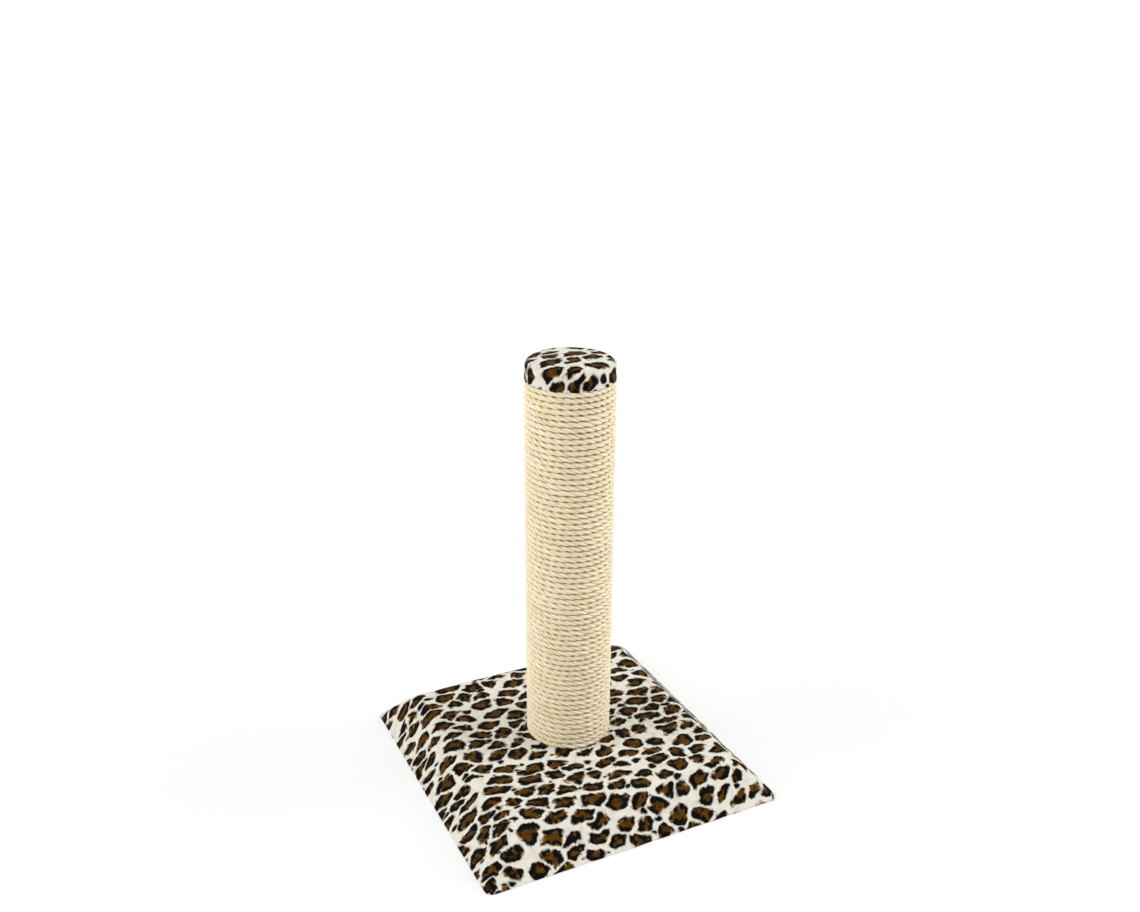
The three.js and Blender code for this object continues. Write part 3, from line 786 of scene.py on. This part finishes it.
def makeRopeFibres(sisal):
    # loose fibres that stand off the rope
    look = fibreLook
    draw = random.Random(look["seed"])
    angles, heights = ropePath()
    segments = look["segments"]
    rootOut, rootUp = look["root"]
    lengthShift, widthShift, depthShift = look["toneShift"]
    points, faces, straight = [], [], []
    for _ in range(look["count"]):
        step = draw.randrange(len(angles))
        angle, z = angles[step], heights[step]
        around = draw.uniform(-look["around"], look["around"])
        outward = Vector((math.cos(angle), math.sin(angle), 0))
        place = outward * (ropeSize["centre"] + rootOut * math.cos(around))
        place.z = z + rootUp * math.sin(around)
        forward = Vector((math.sin(angle), -math.cos(angle), 0)) * draw.choice((-1, 1))
        way = forward + outward * draw.uniform(*look["rise"])
        way += Vector((0, 0, draw.uniform(-look["sideways"], look["sideways"])))
        way.normalize()
        curl = Vector([draw.uniform(-1, 1) for _ in range(3)])
        bend = curl * look["curl"] - outward * look["fallBack"]
        stride = draw.uniform(*look["length"]) / segments
        first = len(points)
        for segment in range(segments + 1):
            thick = look["width"] * (1 - look["taper"] * segment / segments)
            side = way.cross(outward).normalized()
            top = side.cross(way).normalized()
            for corner in range(3):
                turn = 2 * math.pi * corner / 3
                offset = side * (thick * math.cos(turn)) + top * (thick * math.sin(turn))
                points.append((place + offset) * mm)
                along = first * lengthShift + segment * stride
                straight.append((along, widthShift * corner, first * depthShift))
            if segment:
                a = first + (segment - 1) * 3
                faces += [(a + c, a + (c + 1) % 3, a + 3 + (c + 1) % 3, a + 3 + c) for c in range(3)]
            place = place + way * stride
            way = (way + bend).normalized()
        faces.append((first + 2, first + 1, first))
        last = first + segments * 3
        faces.append((last, last + 1, last + 2))
    piece = makePiece("ropeFibres", points, faces, sisal)
    setAttribute(piece, "laidOut", straight, "FLOAT_VECTOR", "vector")
    setAttribute(piece, "lobe", np.ones(len(points)))
    print(f"rope fibres: {look['count']}")


# The cap's driving sizes, as in the CAD, in millimetres.
capSize = {
    "bottom": 459.9,
    "radius": 47.4,
    "shoulderRadius": 8.0,
    "shoulderZ": 474.0,
    "crown": 2.5,
    "hemInner": 30.0,
    "thickness": 2.5,
}
capLook = {
    "segments": 144,
    "rings": {"crown": 14, "shoulder": 8, "side": 6, "fold": 5, "hem": 7},
    "foldRadius": 1.3,
    "innerFold": 0.3,
    "waves": (0.45, 17.0),  # how high, over what length
    "waveZone": (34.0, 46.0),  # the radii between which they turn from upward to outward
    "gathers": 0.35,  # small folds where the cloth turns under the disc
    "gatherCount": 26,
    "gatherDrift": 2.2,
    "gatherHeight": (9.0, 1.0),  # above the bottom: where they begin, where they are full
    "gatherZone": (33.0, 42.0),
    "printShift": (0.006, 0.109),  # metres of cloth, so the cap isn't cut from the base's middle
    "printTurn": -0.28,  # radians, so that whole spots stand along the rim in front
}


def crownOutline(inset, rings, lastAngle=0.0):
    # radius and height from the crown's middle outward, to the end of the shoulder
    size = capSize
    centre, shoulder = size["radius"] - size["shoulderRadius"], size["shoulderZ"]
    radius = size["shoulderRadius"] - inset
    outline = []
    for step in range(rings["crown"]):
        share = step / rings["crown"]
        outline.append((centre * share, shoulder + radius + size["crown"] * (1 - share * share)))
    for step in range(rings["shoulder"] + 1):
        angle = math.pi / 2 + (lastAngle - math.pi / 2) * step / rings["shoulder"]
        outline.append((centre + radius * math.cos(angle), shoulder + radius * math.sin(angle)))
    return outline


def capOutline(inset, foldRadius):
    # the same, and on down the side, round the fold and under
    size, rings = capSize, capLook["rings"]
    outline = crownOutline(inset, rings)
    side, shoulder, bottom = outline[-1][0], size["shoulderZ"], size["bottom"] + inset
    fold = bottom + foldRadius
    for step in range(1, rings["side"] + 1):
        outline.append((side, shoulder + (fold - shoulder) * step / rings["side"]))
    inward = side - foldRadius
    for step in range(1, rings["fold"] + 1):
        angle = -math.pi / 2 * step / rings["fold"]
        outline.append((inward + foldRadius * math.cos(angle), fold + foldRadius * math.sin(angle)))
    for step in range(1, rings["hem"] + 1):
        outline.append((inward + (size["hemInner"] - side + foldRadius) * step / rings["hem"], bottom))
    return outline


def turnedFaces(ringCount, segments, offset=0):
    # faces between the rings of a turned form
    rings = [range(offset + ring * segments, offset + (ring + 1) * segments) for ring in range(ringCount)]
    return [face for inner, outer in zip(rings, rings[1:]) for face in strip(inner, outer)]


def mergeMiddle(piece):
    # the innermost ring of a turned form is one point
    build = bmesh.new()
    build.from_mesh(piece.data)
    bmesh.ops.remove_doubles(build, verts=build.verts, dist=1e-6)
    build.to_mesh(piece.data)
    build.free()


def capShift(angle, radius, z):
    # how far the cap's cloth stands out and up from its plain form
    look, bottom = capLook, capSize["bottom"]
    height, size = look["waves"]
    wave = height * noise.noise(Vector((radius * math.cos(angle), radius * math.sin(angle), z)) / size)
    begin, full = look["gatherHeight"]
    low = float(smoothStep(-z, -bottom - begin, -bottom - full))
    low *= float(smoothStep(radius, *look["gatherZone"]))
    drift = noise.noise(Vector((math.cos(angle), math.sin(angle), 0.4)) * 2)
    phase = look["gatherCount"] * angle + look["gatherDrift"] * drift
    edge = float(smoothStep(radius, *look["waveZone"]))
    outward = (wave + look["gathers"] * low * math.sin(phase)) * edge
    return outward, wave * (1 - edge) * float(z > capSize["shoulderZ"])


def makeCapCover(plush):
    look = capLook
    outer = capOutline(0, look["foldRadius"])
    inner = capOutline(capSize["thickness"], look["innerFold"])
    segments, ringCount = look["segments"], len(outer)
    lengths = [0.0]
    for (r0, z0), (r1, z1) in zip(outer, outer[1:]):
        lengths.append(lengths[-1] + math.hypot(r1 - r0, z1 - z0))
    points, cloth = [], []
    for (radius, z), length in zip(outer + inner, lengths + lengths):
        for segment in range(segments):
            angle = 2 * math.pi * segment / segments
            x, y = radius * math.cos(angle), radius * math.sin(angle)
            outward, lift = capShift(angle, radius, z)
            points.append((x + outward * math.cos(angle), y + outward * math.sin(angle), z + lift))
            turned = angle + look["printTurn"]
            cloth.append((length * math.cos(turned), length * math.sin(turned)))
    total = ringCount * segments
    faces = turnedFaces(ringCount, segments) + flipped(turnedFaces(ringCount, segments, total))
    faces += strip(range(total - segments, total), range(2 * total - segments, 2 * total))
    piece = makePiece("capCover", [Vector(point) * mm for point in points], faces, plush)
    setClothMap(piece, np.array(cloth) * mm + np.array(look["printShift"]))
    mergeMiddle(piece)
    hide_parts("cap_cover")


foamLook = {
    "gap": 0.3,  # between it and the cover
    "segments": 72,
    "rings": {"crown": 8, "shoulder": 5},
    "underside": (0.9, 0.5, 0.0),  # its rings, as shares of the crown's radius
    "unevenness": 0.08,
    "cellScale": 1.2,  # cells to a millimetre
    "cellWall": (0.02, 0.2),
    "cellDepth": 0.4,
    "dark": linear(204, 190, 142),
    "light": linear(234, 224, 188),
}


def makeFoam():
    look = foamLook
    finish = Finish("polyurethaneFoam", Roughness=1.0)
    cells = finish.cells(finish.objectPlace(), look["cellScale"], feature="DISTANCE_TO_EDGE")["Distance"]
    colour = finish.mix(finish.step(cells, *look["cellWall"]), look["dark"], look["light"])
    return finish.done(colour, finish.bump(cells, look["cellDepth"]))


def makeCapFoam(foam):
    look, size = foamLook, capSize
    low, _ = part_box("cap_foam")
    bottom, inset = low.z / mm, size["thickness"] + look["gap"]
    lastAngle = math.asin((bottom - size["shoulderZ"]) / (size["shoulderRadius"] - inset))
    outline = crownOutline(inset, look["rings"], lastAngle)
    centre = size["radius"] - size["shoulderRadius"]
    outline += [(centre * share, bottom) for share in look["underside"]]
    points = []
    for radius, z in outline:
        for segment in range(look["segments"]):
            angle = 2 * math.pi * segment / look["segments"]
            x, y = radius * math.cos(angle), radius * math.sin(angle)
            uneven = look["unevenness"] * noise.noise(Vector((x, y, z))) if radius > 0 else 0
            points.append(Vector((x, y, z + uneven)) * mm)
    piece = makePiece("capFoam", points, turnedFaces(len(outline), look["segments"]), foam)
    mergeMiddle(piece)
    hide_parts("cap_foam")
    print(f"cap foam: {len(outline)} rings")


boardLook = {
    "grain": (1.6, 60.0),  # width and length
    "grainHeight": 0.15,
    "ply": 1.5,  # thickness of one
    "plyShade": 0.35,
    "pine": (linear(226, 194, 146), linear(196, 154, 102)),
    "plywood": (linear(214, 180, 134), linear(188, 150, 104)),
}


def makeGrain(name, tones, alongY=False, ply=0.0):
    # grain runs along X, or Y; the plies are seen on the edges
    look = boardLook
    finish = Finish(name, Roughness=0.65)
    place = finish.objectPlace()
    short, long = look["grain"]
    sizes = (short, long, short) if alongY else (long, short, short)
    grain = finish.streaks(place, sizes, 4.0, 0.6)
    share = finish.step(grain, *toneSpan)
    if ply:
        height = finish.add("SeparateXYZ", {0: place}).outputs[2]
        band = finish.remap(finish.math("PINGPONG", height, ply), 0.0, ply, look["plyShade"], 1.0)
        share = finish.times(share, band)
    return finish.done(finish.mix(share, *tones), finish.bump(grain, look["grainHeight"]))


hardboardLook = {
    "chips": (2.2, 5.0, 0.75),  # size, detail and roughness
    "chipSpan": (0.35, 0.65),
    "chipHeight": 0.2,
    "tones": (linear(150, 112, 74), linear(116, 82, 52)),
    "fleckScale": 0.7,  # flecks to a millimetre
    "fleckSpan": (0.7, 0.9),
    "fleckShare": 0.35,
    "fleck": linear(184, 150, 108),
}


def makeHardboard():
    look = hardboardLook
    finish = Finish("hardboard", Roughness=0.8)
    place = finish.objectPlace()
    chips = finish.noise(place, *look["chips"])
    flecks = finish.cells(place, look["fleckScale"])["Color"]
    fleck = finish.add("SeparateColor", {0: flecks}).outputs[0]
    share = finish.times(finish.step(fleck, *look["fleckSpan"]), look["fleckShare"])
    colour = finish.mix(finish.step(chips, *look["chipSpan"]), *look["tones"])
    return finish.done(finish.mix(share, colour, look["fleck"]), finish.bump(chips, look["chipHeight"]))


cardboardLook = {
    "stripWidth": 90.0,  # how far a strip climbs in one turn
    "seamWidth": 0.8,
    "seam": linear(96, 70, 44),
    "fibres": (1.5, 4.0, 0.7),  # size, detail and roughness
    "fibreHeight": 0.1,
    "tones": (linear(150, 116, 78), linear(186, 150, 106)),
}


def makeCardboard():
    # a tube wound from strips: the seams climb round it
    look = cardboardLook
    finish = Finish("kraftCardboard", Roughness=0.85)
    place = finish.objectPlace()
    x, y, z = finish.add("SeparateXYZ", {0: place}).outputs
    turns = finish.times(finish.math("ARCTAN2", y, x), look["stripWidth"] / (2 * math.pi))
    seam = finish.math("PINGPONG", finish.math("ADD", z, turns), look["stripWidth"] / 2)
    fibres = finish.noise(place, *look["fibres"])
    colour = finish.mix(finish.step(fibres, *toneSpan), *look["tones"])
    colour = finish.mix(finish.step(seam, 0.0, look["seamWidth"]), look["seam"], colour)
    return finish.done(colour, finish.bump(fibres, look["fibreHeight"]))


steelLook = {
    "cloud": (2.5, 3.0, 0.6),  # size, detail and roughness of the dull patches
    "scratch": (1 / 2, 1 / 9, 1.0),
    "scratchDepth": 0.03,
    "unevenGloss": (0.8, 1.25),
    # two tones and a roughness for each kind
    "zincPlatedSteel": (linear(196, 200, 202), linear(160, 164, 168), 0.32),
    "stapleWire": (linear(206, 206, 204), linear(172, 172, 170), 0.25),
}


def makeSteel(name):
    look = steelLook
    *tones, roughness = look[name]
    finish = Finish(name, Metallic=1.0)
    place = finish.objectPlace()
    cloud = finish.noise(place, *look["cloud"])
    scratches = finish.streaks(place, look["scratch"], 2.0)
    colour = finish.mix(finish.step(cloud, *toneSpan), *tones)
    gloss = [roughness * factor for factor in look["unevenGloss"]]
    uneven = finish.remap(cloud, *toneSpan, *gloss)
    return finish.done(colour, finish.bump(scratches, look["scratchDepth"]), uneven)


def finishCadPieces():
    pineX = makeGrain("pineAlongX", boardLook["pine"])
    pineY = makeGrain("pineAlongY", boardLook["pine"], alongY=True)
    plywood = makeGrain("plywood", boardLook["plywood"], ply=boardLook["ply"])
    zinc, wire = makeSteel("zincPlatedSteel"), makeSteel("stapleWire")
    finishes = {"base_board": makeHardboard(), "post_tube": makeCardboard()}
    finishes |= dict.fromkeys(("side_rail_front", "side_rail_back", "centre_block"), pineX)
    finishes |= dict.fromkeys(("side_rail_left", "side_rail_right"), pineY)
    finishes |= dict.fromkeys(("deck_board", "bottom_plug", "top_plug", "cap_disc"), plywood)
    for name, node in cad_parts.items():
        if node.hide_render:
            continue
        material = finishes.get(name) or (wire if "staple" in name else zinc)
        node.data.materials.clear()
        node.data.materials.append(material)
    print("finishes: on the boards, the tube and the fasteners")


studioLook = {
    "worldLight": 0.66,
    "floorReach": 40.0,
    "floorLight": 0.92,  # the floor's own colour, for the light that it throws back
    "shadowShare": 0.35,
    "floorDrop": 0.2,  # millimetres below the hem, so that the two don't lie in one plane
    # two soft boxes, one on either side of the camera: the way to each, and its strength
    "lamps": {
        "leftLight": ((-0.97, 0.2, 0.62), 1.1),
        "rightLight": ((0.92, -0.36, 0.62), 1.22),
    },
    "lampAngle": 35.0,  # degrees across, for soft shadows
}


def seenDirectly(nodes, lighting, seen):
    # one value for light, another for what the camera, a mirror or a lens looks at
    rays = nodes.add("LightPath").outputs
    looked = rays["Is Camera Ray"]
    for name in ("Is Glossy Ray", "Is Transmission Ray"):
        looked = nodes.math("MAXIMUM", looked, rays[name])
    return nodes.remap(looked, 0.0, 1.0, lighting, seen)


def makeFloor():
    # plain for the light; where it is looked at, white with part of the shadow
    look = studioLook
    size, level = look["floorReach"], -look["floorDrop"] * mm
    corners = [(x * size, y * size, level) for x, y in ((-1, -1), (1, -1), (1, 1), (-1, 1))]
    mesh = bpy.data.meshes.new("floor")
    mesh.from_pydata(corners, [], [(0, 1, 2, 3)])
    material = bpy.data.materials.new("studioFloor")
    material.use_nodes = True
    material.node_tree.nodes.clear()
    nodes = Nodes(material.node_tree)
    grey = (look["floorLight"],) * 3 + (1,)
    plain = nodes.add("BsdfDiffuse", {0: grey}).outputs[0]
    white = [nodes.add(kind, {0: (1, 1, 1, 1)}).outputs[0] for kind in ("Emission", "BsdfDiffuse")]
    shown = nodes.add("MixShader", {0: look["shadowShare"], 1: white[0], 2: white[1]}).outputs[0]
    choose = nodes.add("MixShader", {0: seenDirectly(nodes, 0.0, 1.0), 1: plain, 2: shown})
    nodes.add("OutputMaterial", {0: choose.outputs[0]})
    mesh.materials.append(material)
    floor = bpy.data.objects.new("floor", mesh)
    bpy.context.scene.collection.objects.link(floor)


def makeStudio():
    scene = bpy.context.scene
    world = bpy.data.worlds.new("studio")
    scene.world = world
    world.use_nodes = True
    background = world.node_tree.nodes["Background"]
    background.inputs[0].default_value = (1, 1, 1, 1)
    nodes = Nodes(world.node_tree)
    nodes.plug(seenDirectly(nodes, studioLook["worldLight"], 1.0), background.inputs[1])
    makeFloor()
    for name, (way, strength) in studioLook["lamps"].items():
        light = bpy.data.lights.new(name, "SUN")
        light.energy = strength
        light.angle = math.radians(studioLook["lampAngle"])
        lamp = bpy.data.objects.new(name, light)
        lamp.rotation_euler = Vector(way).to_track_quat("Z", "Y").to_euler()
        scene.collection.objects.link(lamp)
    scene.view_settings.view_transform = "Standard"
    print("studio: floor, world and two lamps")


makeCamera()
makeStudio()
plush = makePlush()
sisal = makeSisal()
makeBaseWadding(makeFleece())
makeBaseCover(plush)
makeRope(sisal)
makeRopeFibres(sisal)
makeCapFoam(makeFoam())
makeCapCover(plush)
finishCadPieces()
